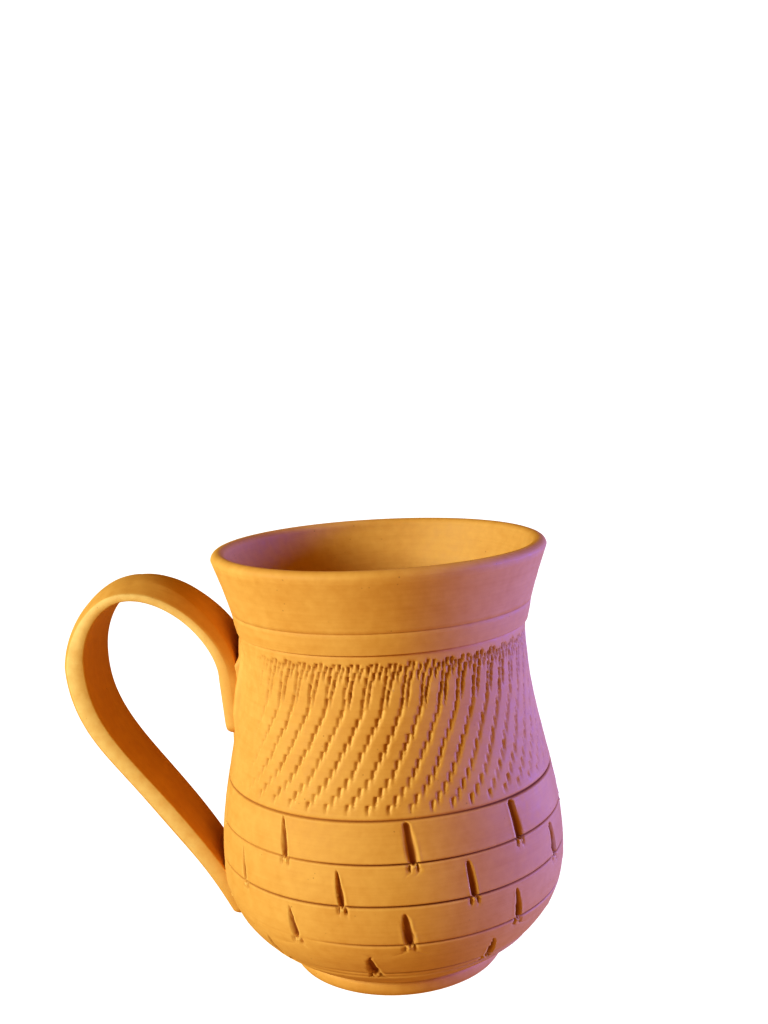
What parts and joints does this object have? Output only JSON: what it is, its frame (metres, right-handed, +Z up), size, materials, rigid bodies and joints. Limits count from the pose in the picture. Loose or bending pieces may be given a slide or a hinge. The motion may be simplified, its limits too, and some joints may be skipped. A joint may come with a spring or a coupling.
{
  "type": "clay mug",
  "caption": "Wheel-thrown unglazed terracotta mug for hot drinks, with a flared rim, a tooled band, carved brick courses round the belly and a pulled strap handle.",
  "frame": {"origin": "on the pot's turning axis, in the plane of the foot", "axes": "+Z up along the turning axis, the handle along -X, +Y completes a right-handed frame"},
  "size_m": [0.1275, 0.0898, 0.11],
  "materials": {
    "clay": "unglazed, matte, turned and tooled",
    "slip": "unglazed, matte, smeared by hand"
  },
  "bodies": {
    "root": {"thrown_body": "clay", "strap_handle": "clay", "upper_slip": "slip", "lower_slip": "slip"}
  },
  "joints": []
}
